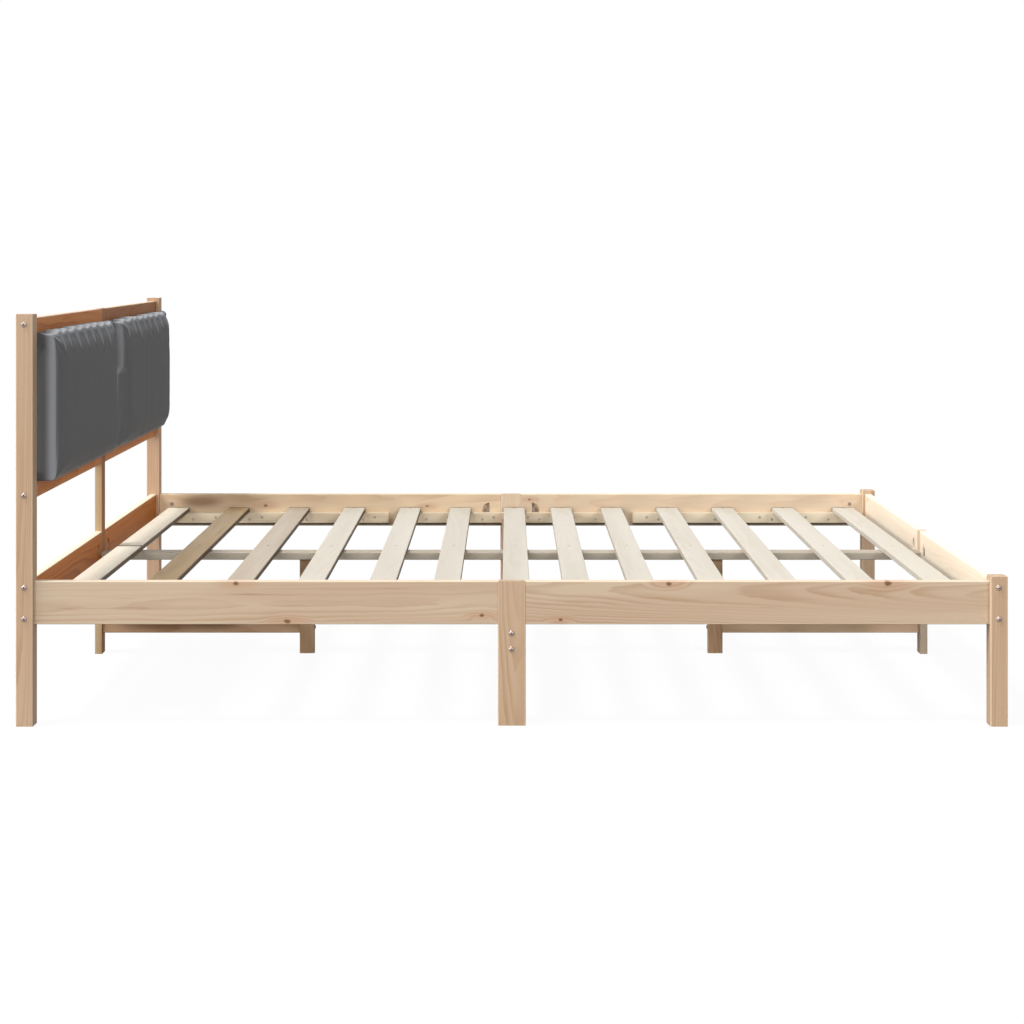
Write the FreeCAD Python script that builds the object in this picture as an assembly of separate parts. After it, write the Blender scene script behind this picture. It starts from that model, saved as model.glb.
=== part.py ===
import FreeCAD, Part
import math
import os

from FreeCAD import Vector

# Double bed frame in pine: split rails between corner posts, mid legs and centre posts,
# a slatted base, and a headboard with two padded cushions. Millimetres. X runs from the
# head (-) to the foot (+), Y from the right side (-) to the left side (+), Z up, with the
# origin on the floor under the middle of the bed.

# Space for the mattress
MATTRESS_LENGTH = 2000.0
MATTRESS_WIDTH = 1400.0
MATTRESS_PLAY = 1.0

# Posts, legs and board stock
POST_SIZE = 36.0
BOARD_THICKNESS = 18.0
EDGE_EASE = 2.0
HEAD_POST_HEIGHT = 854.0
FOOT_POST_HEIGHT = 310.0
CENTRE_POST_WIDTH = 36.0
CENTRE_LEG_WIDTH = 36.0
MID_LEG_WIDTH = 58.0

# Rails: the side and end rails share their height, the headboard's rails have their own
RAIL_BOTTOM = 210.0
RAIL_HEIGHT = 90.0
HEADBOARD_RAIL_HEIGHT = 58.0
HEADBOARD_TOP_DROP = 9.0
HEADBOARD_GAP = 166.0

# Slatted base
SLAT_WIDTH = 59.0
SLAT_THICKNESS = 13.0
SLAT_TOP_DROP = 38.0
SLAT_END_GAP = 1.5
SLAT_PITCH_MIDDLE = 141.5
SLAT_PITCH_INNER = 157.0
SLAT_TO_END_RAIL = 34.0
MIDDLE_SLAT_SHIFT = 10.0
LEDGER_HEIGHT = 32.0
LEDGER_POST_GAP = 0.5
MID_LEDGER_LENGTH = 580.0
LEDGER_SPACE = 54.0

# Members under the slats
BEAM_WIDTH = 46.0
CROSS_BEAM_HEIGHT = 67.0
CROSS_CAP_WIDTH = 50.0
STRETCHER_HEIGHT = 58.0
STRETCHER_FLOOR_GAP = 50.0

# Headboard cushions
CUSHION_POST_GAP = 9.5
CUSHION_MIDDLE_GAP = 24.0
CUSHION_LOWER_LAP = 22.0
CUSHION_UPPER_LAP = 28.0
CUSHION_EDGE_DEPTH = 40.0
CUSHION_CROWN = 12.0
CUSHION_EDGE_RADIUS = 18.0
CUSHION_CORNER_RADIUS = 24.0
CUSHION_DRAW_IN = 3.0
CUSHION_CROWN_SPANS = 8
CUSHION_END_CROWN = 2.0
COVER_THICKNESS = 1.5
HEM_WIDTH = 30.0
SOFT_CLEARANCE = 0.3
CUSHION_BOARD_THICKNESS = 9.0
CUSHION_BOARD_CLEARANCE = 1.0

# Bolts and barrel nuts
BOLT_DIAMETER = 6.0
BOLT_HEAD_DIAMETER = 12.5
BOLT_HEAD_HEIGHT = 3.5
BOLT_SOCKET_WIDTH = 4.0
BOLT_SOCKET_DEPTH = 2.0
BOLT_HOLE_PLAY = 1.0
BOLT_EDGE_DISTANCE = 12.5
BOLT_TIP = 8.0
NUT_DISTANCE = 34.0
NUT_DIAMETER = 10.0
NUT_PLAY = 0.4
NUT_THREAD_PLAY = 0.3
NUT_SINK = 0.5
NUT_BACK_SKIN = 2.0

# Threaded rods, their half-moon nuts and the pockets for them
ROD_DIAMETER = 6.0
ROD_TIP = 2.0
POCKET_RADIUS = 20.0
POCKET_WALL = 31.0
POCKET_BACK_SKIN = 4.0
HALF_MOON_RADIUS = 9.0
HALF_MOON_PLAY = 1.0

# Screws and dowels
SCREW_DIAMETER = 4.0
SCREW_HEAD_DIAMETER = 8.0
SCREW_HEAD_HEIGHT = 2.6
SCREW_HEAD_SINK = 0.8
SCREW_RECESS_WIDTH = 1.0
SCREW_RECESS_LENGTH = 4.4
SCREW_RECESS_DEPTH = 1.4
SCREW_POINT = 4.0
SCREW_PLAY = 0.2
SCREW_BITE = 12.0
SLAT_SCREW_BITE = 10.0
LEG_SCREW_BITE = 40.0
CUSHION_SCREW_BITE = 6.0
CUSHION_SCREW_END = 85.0
LEDGER_SCREW_STAGGER = 6.0
LEDGER_SCREW_MARGIN = 12.0
LEDGER_SCREWS_HIGH = (48.0, 177.0, 383.0, 701.0, 831.0)
LEDGER_SCREWS_LOW = (80.0, 239.0, 416.0, 575.0, 736.0, 895.0)
BEAM_SCREW_SPREAD = 32.0
CAP_SCREW_END = 82.5
CAP_SCREWS_EACH_SIDE = 3
DOWEL_DIAMETER = 8.0
DOWEL_DEPTH = 15.0
DOWEL_END_ROOM = 0.5
DOWEL_CHAMFER = 1.0
DOWEL_PLAY = 0.2

# Faces of the frame, worked out from the mattress space and the stock
post_overhang = (POST_SIZE - BOARD_THICKNESS) / 2
inner_x = (MATTRESS_LENGTH + MATTRESS_PLAY) / 2
inner_y = (MATTRESS_WIDTH + MATTRESS_PLAY) / 2
board_x = inner_x + BOARD_THICKNESS
board_y = inner_y + BOARD_THICKNESS
outer_x = board_x + post_overhang
outer_y = board_y + post_overhang
post_inner_x = outer_x - POST_SIZE
post_inner_y = outer_y - POST_SIZE
rail_mid_x = inner_x + BOARD_THICKNESS / 2
rail_mid_y = inner_y + BOARD_THICKNESS / 2
half_board = BOARD_THICKNESS / 2

# Heights
rail_top = RAIL_BOTTOM + RAIL_HEIGHT
rail_mid = RAIL_BOTTOM + RAIL_HEIGHT / 2
top_rail_top = HEAD_POST_HEIGHT - HEADBOARD_TOP_DROP
top_rail_bottom = top_rail_top - HEADBOARD_RAIL_HEIGHT
lower_rail_bottom = rail_top + HEADBOARD_GAP
lower_rail_top = lower_rail_bottom + HEADBOARD_RAIL_HEIGHT
slat_top = rail_top - SLAT_TOP_DROP
slat_bottom = slat_top - SLAT_THICKNESS
ledger_bottom = slat_bottom - LEDGER_HEIGHT
beam_bottom = slat_bottom - BOARD_THICKNESS
cap_bottom = beam_bottom - BOARD_THICKNESS
cross_beam_bottom = cap_bottom - CROSS_BEAM_HEIGHT
stretcher_top = STRETCHER_FLOOR_GAP + STRETCHER_HEIGHT
centre_leg_x = inner_x / 2

# Directions and sides
X = Vector(1, 0, 0)
Y = Vector(0, 1, 0)
Z = Vector(0, 0, 1)
SIDES = (("right", -1), ("left", 1))
ENDS = (("head", -1), ("foot", 1))

# What is built: wooden and soft pieces by name, fasteners by kind, and every hole's cutter
pieces = {}
fasteners = {
    "frame_bolts": [],
    "barrel_nuts": [],
    "joint_rods": [],
    "half_moon_nuts": [],
    "wood_screws": [],
    "dowels": [],
}
cutters = []


def span(first, second):
    """The two limits in rising order."""
    return (min(first, second), max(first, second))


def block(x, y, z):
    """Box between two limits on each axis."""
    return Part.makeBox(x[1] - x[0], y[1] - y[0], z[1] - z[0], Vector(x[0], y[0], z[0]))


def board(x, y, z):
    """Board or post whose four long edges are eased."""
    solid = block(x, y, z)
    lengths = [x[1] - x[0], y[1] - y[0], z[1] - z[0]]
    long_axis = (X, Y, Z)[lengths.index(max(lengths))]
    long_edges = [e for e in solid.Edges if abs(e.tangentAt(e.FirstParameter).dot(long_axis)) > 0.9]
    return solid.makeFillet(min(EDGE_EASE, min(lengths) / 4), long_edges)


def turned(outline):
    """Solid of revolution about Z of an outline of (radius, height) points, axis to axis."""
    points = [Vector(radius, 0, height) for radius, height in outline]
    face = Part.Face(Part.makePolygon(points + points[:1]))
    return face.revolve(Vector(0, 0, 0), Z, 360)


def aimed(shape, place, direction):
    """Copy of a shape made along -Z, set at a place and pointing in a direction."""
    copy = shape.copy()
    copy.Placement = FreeCAD.Placement(place, FreeCAD.Rotation(-Z, direction))
    return copy


def cylinder(diameter, start, direction, length):
    """Round bar from a start point."""
    return Part.makeCylinder(diameter / 2, length, start, direction)


def half_cylinder(place, away, normal, radius, back, front):
    """Half disc with its flat through place, bulging away, from back to front on the normal."""
    disc = Part.makeCylinder(radius, front - back, place + normal * back, normal)
    sideways = normal.cross(away) * radius
    first = place + normal * back - sideways
    second = place + normal * front + sideways + away * radius
    half = block(span(first.x, second.x), span(first.y, second.y), span(first.z, second.z))
    return disc.common(half)


def make_bolt(length):
    """Button-head bolt with a hexagon socket, its head above Z = 0 and its shank below."""
    rise = BOLT_HEAD_HEIGHT
    reach = BOLT_HEAD_DIAMETER / 2
    dome_radius = (rise**2 + reach**2) / (2 * rise)
    dome = Part.makeSphere(dome_radius, Vector(0, 0, rise - dome_radius))
    head = dome.common(Part.makeCylinder(reach, rise))
    shank = Part.makeCylinder(BOLT_DIAMETER / 2, length, Vector(0, 0, -length))
    corner = BOLT_SOCKET_WIDTH / math.sqrt(3)
    turns = [math.radians(60 * index) for index in range(7)]
    hexagon = Part.makePolygon([Vector(corner * math.cos(a), corner * math.sin(a), rise) for a in turns])
    socket = Part.Face(hexagon).extrude(Vector(0, 0, -BOLT_SOCKET_DEPTH))
    return head.fuse(shank).removeSplitter().cut(socket)


def screw_outline(length, play):
    """Outline of a countersunk screw, widened by half the play; its head's top is at Z = 0."""
    shank = (SCREW_DIAMETER + play) / 2
    head = (SCREW_HEAD_DIAMETER + play) / 2
    return [(0, 0), (head, 0), (shank, -SCREW_HEAD_HEIGHT), (shank, -length + SCREW_POINT), (0, -length)]


def make_screw(length):
    """Countersunk screw with a cross recess."""
    half_long = SCREW_RECESS_LENGTH / 2
    half_wide = SCREW_RECESS_WIDTH / 2
    depth = (-SCREW_RECESS_DEPTH, 0)
    first_slot = block((-half_long, half_long), (-half_wide, half_wide), depth)
    second_slot = block((-half_wide, half_wide), (-half_long, half_long), depth)
    return turned(screw_outline(length, 0)).cut([first_slot, second_slot])


def add_bolt(seat, direction, through, nut_face):
    """Bolt through a post or leg into a member's end, with its barrel nut and their holes.

    seat is the point under the head, through the thickness that the bolt passes, and
    nut_face the direction from the member's middle to the face that takes the nut.
    """
    length = through + NUT_DISTANCE + BOLT_TIP
    fasteners["frame_bolts"].append(aimed(make_bolt(length), seat, direction))
    cutters.append(cylinder(BOLT_DIAMETER + BOLT_HOLE_PLAY, seat, direction, length + BOLT_TIP / 2))
    nut_place = seat + direction * (through + NUT_DISTANCE)
    nut_back = nut_place + nut_face * (NUT_BACK_SKIN - half_board)
    hole_length = BOARD_THICKNESS - NUT_BACK_SKIN
    cutters.append(cylinder(NUT_DIAMETER + NUT_PLAY, nut_back, nut_face, hole_length))
    nut = cylinder(NUT_DIAMETER, nut_back, nut_face, hole_length - NUT_SINK)
    thread = cylinder(
        BOLT_DIAMETER + NUT_THREAD_PLAY, nut_place - direction * NUT_DIAMETER, direction, 2 * NUT_DIAMETER
    )
    fasteners["barrel_nuts"].append(nut.cut(thread))


def add_rod(middle, direction, post_width, pocket_face):
    """Threaded rod through a post, with a half-moon nut in a pocket of the rail on each side."""
    wall = post_width / 2 + POCKET_WALL
    half_length = wall + HALF_MOON_RADIUS + ROD_TIP
    start = middle - direction * half_length
    fasteners["joint_rods"].append(cylinder(ROD_DIAMETER, start, direction, 2 * half_length))
    cutters.append(cylinder(ROD_DIAMETER + BOLT_HOLE_PLAY, start, direction, 2 * half_length))
    pocket_back = POCKET_BACK_SKIN - half_board
    for sign in (-1, 1):
        away = direction * sign
        flat = middle + away * wall
        cutters.append(half_cylinder(flat, away, pocket_face, POCKET_RADIUS, pocket_back, half_board))
        nut_back = pocket_back + HALF_MOON_PLAY
        nut_front = half_board - HALF_MOON_PLAY
        nut = half_cylinder(flat, away, pocket_face, HALF_MOON_RADIUS, nut_back, nut_front)
        thread = cylinder(ROD_DIAMETER + NUT_THREAD_PLAY, start, direction, 2 * half_length)
        fasteners["half_moon_nuts"].append(nut.cut(thread))


def add_screw(surface, direction, length):
    """Countersunk screw driven into a surface, its head a little below it."""
    head_top = surface + direction * SCREW_HEAD_SINK
    fasteners["wood_screws"].append(aimed(make_screw(length), head_top, direction))
    head = (SCREW_HEAD_DIAMETER + SCREW_PLAY) / 2
    outline = [(radius, height - SCREW_HEAD_SINK) for radius, height in screw_outline(length, SCREW_PLAY)]
    cutters.append(aimed(turned([(0, 0), (head, 0)] + outline[1:]), surface, direction))


def add_dowel(joint, direction):
    """Wooden peg half in each of two butted pieces."""
    half = DOWEL_DEPTH - DOWEL_END_ROOM
    peg = cylinder(DOWEL_DIAMETER, joint - direction * half, direction, 2 * half)
    rims = [edge for edge in peg.Edges if edge.Closed and isinstance(edge.Curve, Part.Circle)]
    fasteners["dowels"].append(peg.makeChamfer(DOWEL_CHAMFER, rims))
    cutters.append(
        cylinder(DOWEL_DIAMETER + DOWEL_PLAY, joint - direction * DOWEL_DEPTH, direction, 2 * DOWEL_DEPTH)
    )


def near_edges(bottom, top):
    """The two heights in a board where bolts and dowels sit."""
    return (bottom + BOLT_EDGE_DISTANCE, top - BOLT_EDGE_DISTANCE)


def build_posts():
    """Corner posts at the four corners."""
    for end, end_sign in ENDS:
        height = HEAD_POST_HEIGHT if end == "head" else FOOT_POST_HEIGHT
        x = span(end_sign * post_inner_x, end_sign * outer_x)
        for side, side_sign in SIDES:
            y = span(side_sign * post_inner_y, side_sign * outer_y)
            pieces[f"{end}_post_{side}"] = board(x, y, (0, height))


def build_cross_rails(name, end_sign, nut_face, bottom, top, bolt_heights, peg_heights):
    """Two half rails between a pair of posts, butted against the centre post between them.

    nut_face is the direction of the face that has the barrel nuts and the rods' pockets.
    """
    x = span(end_sign * inner_x, end_sign * board_x)
    middle = end_sign * rail_mid_x
    for side, side_sign in SIDES:
        y = span(side_sign * CENTRE_POST_WIDTH / 2, side_sign * post_inner_y)
        pieces[f"{name}_{side}"] = board(x, y, (bottom, top))
        for height in bolt_heights:
            add_bolt(Vector(middle, side_sign * outer_y, height), Y * -side_sign, POST_SIZE, nut_face)
        for height in peg_heights:
            add_dowel(Vector(middle, side_sign * post_inner_y, height), Y)
        for height in near_edges(bottom, top):
            add_dowel(Vector(middle, side_sign * CENTRE_POST_WIDTH / 2, height), Y)
    add_rod(Vector(middle, 0, (bottom + top) / 2), Y, CENTRE_POST_WIDTH, nut_face)


def build_end_frames():
    """Rails of the head and foot ends with the centre post or leg that parts them."""
    post_y = (-CENTRE_POST_WIDTH / 2, CENTRE_POST_WIDTH / 2)
    pieces["head_centre_post"] = board((-board_x, -inner_x), post_y, (0, top_rail_top))
    pieces["foot_centre_leg"] = board((inner_x, board_x), post_y, (0, rail_top))
    end_bolts = near_edges(RAIL_BOTTOM, rail_top)
    for end, end_sign in ENDS:
        build_cross_rails(f"{end}_rail", end_sign, X * -end_sign, RAIL_BOTTOM, rail_top, end_bolts, ())
    top_peg, top_bolt = near_edges(top_rail_bottom, top_rail_top)
    top_name = "headboard_top_rail"
    build_cross_rails(top_name, -1, -X, top_rail_bottom, top_rail_top, (top_bolt,), (top_peg,))
    lower_bolt, lower_peg = near_edges(lower_rail_bottom, lower_rail_top)
    lower_name = "headboard_lower_rail"
    build_cross_rails(lower_name, -1, -X, lower_rail_bottom, lower_rail_top, (lower_bolt,), (lower_peg,))


def build_sides():
    """Half side rails, bolted to the posts and rodded through the mid leg between them."""
    bolt_rise = (RAIL_HEIGHT - 2 * BOLT_EDGE_DISTANCE) / 4
    half_leg = MID_LEG_WIDTH / 2
    for side, side_sign in SIDES:
        y = span(side_sign * inner_y, side_sign * board_y)
        middle = side_sign * rail_mid_y
        inward = Y * -side_sign
        pieces[f"mid_leg_{side}"] = board((-half_leg, half_leg), y, (0, rail_top))
        add_rod(Vector(0, middle, rail_mid), X, MID_LEG_WIDTH, inward)
        for end, end_sign in ENDS:
            x = span(end_sign * half_leg, end_sign * post_inner_x)
            pieces[f"side_rail_{side}_{end}"] = board(x, y, (RAIL_BOTTOM, rail_top))
            for height in (rail_mid - bolt_rise, rail_mid + bolt_rise):
                add_bolt(Vector(end_sign * outer_x, middle, height), X * -end_sign, POST_SIZE, inward)
            for height in near_edges(RAIL_BOTTOM, rail_top):
                add_dowel(Vector(end_sign * half_leg, middle, height), X)


def leg_screw_place(leg_mid, places):
    """Where the screw enters a centre leg: its middle, or beside it where a slat's screw is."""
    room = (SCREW_HEAD_DIAMETER + SCREW_DIAMETER) / 2 + SCREW_PLAY
    if all(abs(leg_mid - place) > room for place in places):
        return leg_mid
    return leg_mid + CENTRE_LEG_WIDTH / 4


def build_centreline(places):
    """Beam under the slats' middles, its legs and stretchers, and the member across the bed."""
    half_beam = BEAM_WIDTH / 2
    half_leg = CENTRE_LEG_WIDTH / 2
    half_cap = CROSS_CAP_WIDTH / 2
    beam_mid = beam_bottom + half_board
    for end, end_sign in ENDS:
        beam_x = span(0, end_sign * inner_x)
        pieces[f"centre_beam_{end}"] = board(beam_x, (-half_beam, half_beam), (beam_bottom, slat_bottom))
        leg_mid = end_sign * centre_leg_x
        leg_x = (leg_mid - half_leg, leg_mid + half_leg)
        pieces[f"centre_leg_{end}"] = board(leg_x, (-half_board, half_board), (0, beam_bottom))
        stretcher_x = span(leg_mid + end_sign * half_leg, end_sign * inner_x)
        stretcher_z = (STRETCHER_FLOOR_GAP, stretcher_top)
        pieces[f"centre_stretcher_{end}"] = board(stretcher_x, (-half_board, half_board), stretcher_z)
        for height in near_edges(STRETCHER_FLOOR_GAP, stretcher_top):
            leg_seat = Vector(leg_mid - end_sign * half_leg, 0, height)
            add_bolt(leg_seat, X * end_sign, CENTRE_LEG_WIDTH, Y)
            post_seat = Vector(end_sign * board_x, 0, height)
            add_bolt(post_seat, X * -end_sign, BOARD_THICKNESS, Y)
        add_bolt(Vector(end_sign * board_x, 0, beam_mid), X * -end_sign, BOARD_THICKNESS, -Z)
        leg_screw = Vector(leg_screw_place(leg_mid, places), 0, slat_bottom)
        add_screw(leg_screw, -Z, BOARD_THICKNESS + LEG_SCREW_BITE)
        for across in (-BEAM_SCREW_SPREAD / 2, BEAM_SCREW_SPREAD / 2):
            place = Vector(end_sign * half_cap / 2, across, slat_bottom)
            add_screw(place, -Z, BOARD_THICKNESS + SCREW_BITE)
    web_y = (-inner_y, inner_y)
    pieces["cross_beam"] = board((-half_board, half_board), web_y, (cross_beam_bottom, cap_bottom))
    cap_end = inner_y - BOARD_THICKNESS
    pieces["cross_beam_cap"] = board((-half_cap, half_cap), (-cap_end, cap_end), (cap_bottom, beam_bottom))
    lower_bolt = cross_beam_bottom + BOLT_EDGE_DISTANCE
    upper_bolt = lower_bolt + STRETCHER_HEIGHT - 2 * BOLT_EDGE_DISTANCE
    cap_screw_pitch = (cap_end - CAP_SCREW_END) / CAP_SCREWS_EACH_SIDE
    for side, side_sign in SIDES:
        for height in (lower_bolt, upper_bolt):
            add_bolt(Vector(0, side_sign * board_y, height), Y * -side_sign, BOARD_THICKNESS, X)
        for count in range(1, CAP_SCREWS_EACH_SIDE + 1):
            place = Vector(0, side_sign * count * cap_screw_pitch, beam_bottom)
            add_screw(place, -Z, BOARD_THICKNESS + SCREW_BITE)


def slat_places():
    """Middles of the thirteen slats; the last pitch fills what is left to the end rails."""
    last = inner_x - SLAT_TO_END_RAIL - SLAT_WIDTH / 2
    second = 2 * SLAT_PITCH_MIDDLE
    fourth = second + 2 * SLAT_PITCH_INNER
    outer = [SLAT_PITCH_MIDDLE, second, second + SLAT_PITCH_INNER, fourth, (fourth + last) / 2, last]
    return [-x for x in reversed(outer)] + [MIDDLE_SLAT_SHIFT] + outer


def build_slats(places):
    """Slats on the ledgers and the beam, each held by a screw at its middle and at its ends.

    The slat at the head is two half slats, and its middle screw's head clamps both.
    """
    end_y = inner_y - SLAT_END_GAP
    ledger_mid = inner_y - half_board
    z = (slat_bottom, slat_top)
    for number, place in enumerate(places, 1):
        x = (place - SLAT_WIDTH / 2, place + SLAT_WIDTH / 2)
        if number == 1:
            for side, side_sign in SIDES:
                pieces[f"slat_01_{side}"] = board(x, span(0, side_sign * end_y), z)
        else:
            pieces[f"slat_{number:02d}"] = board(x, (-end_y, end_y), z)
        for y in (-ledger_mid, 0, ledger_mid):
            add_screw(Vector(place, y, slat_top), -Z, SLAT_THICKNESS + SLAT_SCREW_BITE)


def ledger_screws(x):
    """Places and heights of the screws along one ledger, in two rows.

    The rows are the same towards the head and the foot, and stop short of the posts' bolts.
    """
    row = LEDGER_SCREW_STAGGER / 2
    found = [(place, row) for place in LEDGER_SCREWS_HIGH] + [(place, -row) for place in LEDGER_SCREWS_LOW]
    ledger_mid = ledger_bottom + LEDGER_HEIGHT / 2
    last = post_inner_x - NUT_DISTANCE - NUT_DIAMETER - SCREW_HEAD_DIAMETER
    low = max(x[0] + LEDGER_SCREW_MARGIN, -last)
    high = min(x[1] - LEDGER_SCREW_MARGIN, last)
    both_ways = [(sign * place, rise) for sign in (-1, 1) for place, rise in found]
    return [(place, ledger_mid + rise) for place, rise in both_ways if low < place < high]


def build_ledgers():
    """Three battens along the inside of each side that carry the slats' ends."""
    half_mid = MID_LEDGER_LENGTH / 2
    end_start = half_mid + LEDGER_SPACE
    end_stop = post_inner_x - LEDGER_POST_GAP
    runs = {"head": (-end_stop, -end_start), "mid": (-half_mid, half_mid), "foot": (end_start, end_stop)}
    for side, side_sign in SIDES:
        face = side_sign * (inner_y - BOARD_THICKNESS)
        y = span(face, side_sign * inner_y)
        for run, x in runs.items():
            pieces[f"slat_ledger_{side}_{run}"] = board(x, y, (ledger_bottom, slat_bottom))
            for place, height in ledger_screws(x):
                add_screw(Vector(place, face, height), Y * side_sign, BOARD_THICKNESS + SCREW_BITE)


def cushion_section(y, back, depth, bottom, top, radius, crown):
    """Closed outline across a cushion: flat back, rounded edges and a crowned front."""
    slant = radius * (1 - math.sqrt(0.5))
    middle = (bottom + top) / 2

    def point(x, z):
        return Vector(-inner_x + x, y, z)

    low_start = point(depth - radius, bottom)
    low_end = point(depth, bottom + radius)
    high_start = point(depth, top - radius)
    high_end = point(depth - radius, top)
    edges = [
        Part.LineSegment(point(back, bottom), low_start),
        Part.Arc(low_start, point(depth - slant, bottom + slant), low_end),
        Part.Arc(low_end, point(depth + crown, middle), high_start),
        Part.Arc(high_start, point(depth - slant, top - slant), high_end),
        Part.LineSegment(high_end, point(back, top)),
        Part.LineSegment(point(back, top), point(back, bottom)),
    ]
    return Part.Wire([edge.toShape() for edge in edges])


def cushion_form(near, far, bottom, top, back, inset):
    """Crowned pad between two Y limits, drawn in along its edges and shrunk by an inset."""
    near += inset
    far -= inset
    corner = CUSHION_CORNER_RADIUS - inset
    radius = CUSHION_EDGE_RADIUS - inset
    steps = [math.radians(angle) for angle in (0, 30, 60, 90)]
    end_stations = [corner * (1 - math.cos(step)) for step in steps]
    width = far - near
    spans = CUSHION_CROWN_SPANS
    stations = end_stations + [width * count / spans for count in range(1, spans)]
    stations += [width - station for station in reversed(end_stations)]
    sections = []
    for station in stations:
        from_end = min(station, width - station)
        round_in = corner - math.sqrt(max(0, corner**2 - max(0, corner - from_end) ** 2))
        swell = math.sin(math.pi * station / width)
        depth = CUSHION_EDGE_DEPTH - inset - round_in * radius / corner
        low = bottom + inset + round_in + CUSHION_DRAW_IN * swell
        high = top - inset - round_in - CUSHION_DRAW_IN * swell
        edge_radius = min(radius, (depth - back) * 0.8)
        crown = CUSHION_END_CROWN + (CUSHION_CROWN - CUSHION_END_CROWN) * swell
        sections.append(cushion_section(near + station, back, depth, low, high, edge_radius, crown))
    return Part.makeLoft(sections, True, True)


def build_cushions():
    """Two headboard cushions: hemmed cover, foam, and the board screwed to the rails."""
    bottom = lower_rail_top - CUSHION_LOWER_LAP
    top = top_rail_bottom + CUSHION_UPPER_LAP
    first = CUSHION_MIDDLE_GAP / 2
    last = post_inner_y - CUSHION_POST_GAP
    front = CUSHION_EDGE_DEPTH + CUSHION_CROWN
    board_inset = COVER_THICKNESS + CUSHION_DRAW_IN + CUSHION_BOARD_CLEARANCE
    board_front = COVER_THICKNESS + CUSHION_BOARD_THICKNESS
    screw_length = BOARD_THICKNESS + COVER_THICKNESS + CUSHION_SCREW_BITE
    screw_heights = ((bottom + lower_rail_top) / 2, (top + top_rail_bottom) / 2)
    screw_spacing = (last - first) / 2 - CUSHION_SCREW_END
    for side, side_sign in SIDES:
        near, far = span(side_sign * first, side_sign * last)
        outside = cushion_form(near, far, bottom, top, 0, 0)
        inside = cushion_form(near, far, bottom, top, COVER_THICKNESS, COVER_THICKNESS)
        window = block(
            (-inner_x, -inner_x + front),
            (near + HEM_WIDTH, far - HEM_WIDTH),
            (bottom + HEM_WIDTH, top - HEM_WIDTH),
        )
        hem_window = window.common(block((-inner_x, -inner_x + COVER_THICKNESS), (near, far), (bottom, top)))
        pieces[f"cushion_cover_{side}"] = outside.cut([inside, hem_window])
        foam_inset = COVER_THICKNESS + SOFT_CLEARANCE
        filling = cushion_form(near, far, bottom, top, COVER_THICKNESS, foam_inset)
        before_board = block((-inner_x + board_front, -inner_x + front), (near, far), (bottom, top))
        pieces[f"cushion_foam_{side}"] = filling.common(before_board)
        panel = block(
            (-inner_x + COVER_THICKNESS, -inner_x + board_front),
            (near + board_inset, far - board_inset),
            (bottom + board_inset, top - board_inset),
        )
        corners = [e for e in panel.Edges if abs(e.tangentAt(e.FirstParameter).dot(X)) > 0.9]
        pieces[f"cushion_board_{side}"] = panel.makeFillet(CUSHION_CORNER_RADIUS, corners)
        for height in screw_heights:
            for offset in (-screw_spacing, 0, screw_spacing):
                place = Vector(-board_x, (near + far) / 2 + offset, height)
                add_screw(place, X, screw_length)


def drilled(solid):
    """The piece with every hole that reaches into it."""
    reach = solid.BoundBox
    holes = [cutter for cutter in cutters if reach.intersect(cutter.BoundBox)]
    return solid.cut(holes) if holes else solid


build_posts()
build_end_frames()
build_sides()
slats = slat_places()
build_centreline(slats)
build_slats(slats)
build_ledgers()
build_cushions()

os.makedirs("parts", exist_ok=True)
for name, solid in pieces.items():
    drilled(solid).exportStep(f"parts/{name}.step")
for name, group in fasteners.items():
    Part.makeCompound(group).exportStep(f"parts/{name}.step")
print(len(pieces) + len(fasteners), "nodes,", len(cutters), "holes")
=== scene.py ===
import math
import random

import bmesh
import bpy
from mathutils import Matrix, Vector, noise


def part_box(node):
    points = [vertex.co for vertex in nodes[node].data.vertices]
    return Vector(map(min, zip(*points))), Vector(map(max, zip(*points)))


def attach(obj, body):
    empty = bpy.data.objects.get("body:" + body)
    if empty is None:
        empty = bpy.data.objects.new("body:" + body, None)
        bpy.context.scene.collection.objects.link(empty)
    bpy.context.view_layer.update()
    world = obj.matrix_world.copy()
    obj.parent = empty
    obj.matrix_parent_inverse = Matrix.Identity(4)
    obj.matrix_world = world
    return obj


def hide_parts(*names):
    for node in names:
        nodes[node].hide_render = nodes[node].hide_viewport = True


# Looks of the double bed: pine boards, pale slats, zinc-plated fasteners and two padded
# headboard cushions. Metres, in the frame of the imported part: X from head (-) to foot (+),
# Y from the near side (-) to the far side (+), Z up. Tones are display values from 0 to 255.
# A pair named for a step or a band holds where a smooth step starts and where it is full.

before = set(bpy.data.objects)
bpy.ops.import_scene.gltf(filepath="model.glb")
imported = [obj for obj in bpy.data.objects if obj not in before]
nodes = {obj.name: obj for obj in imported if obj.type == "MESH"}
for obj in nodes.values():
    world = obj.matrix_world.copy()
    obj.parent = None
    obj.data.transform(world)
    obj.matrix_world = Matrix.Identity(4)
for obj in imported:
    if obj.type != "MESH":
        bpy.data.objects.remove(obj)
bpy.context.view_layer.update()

# Camera: level, on the near side, framed with a shift so that uprights stay parallel
CAMERA_PLACE = (-0.0077, -4.6395, 0.981)
CAMERA_LENS = 66.43
CAMERA_SENSOR = 36.0
CAMERA_SHIFT = (0.0039, -0.253)
CAMERA_REACH = 500.0

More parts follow.
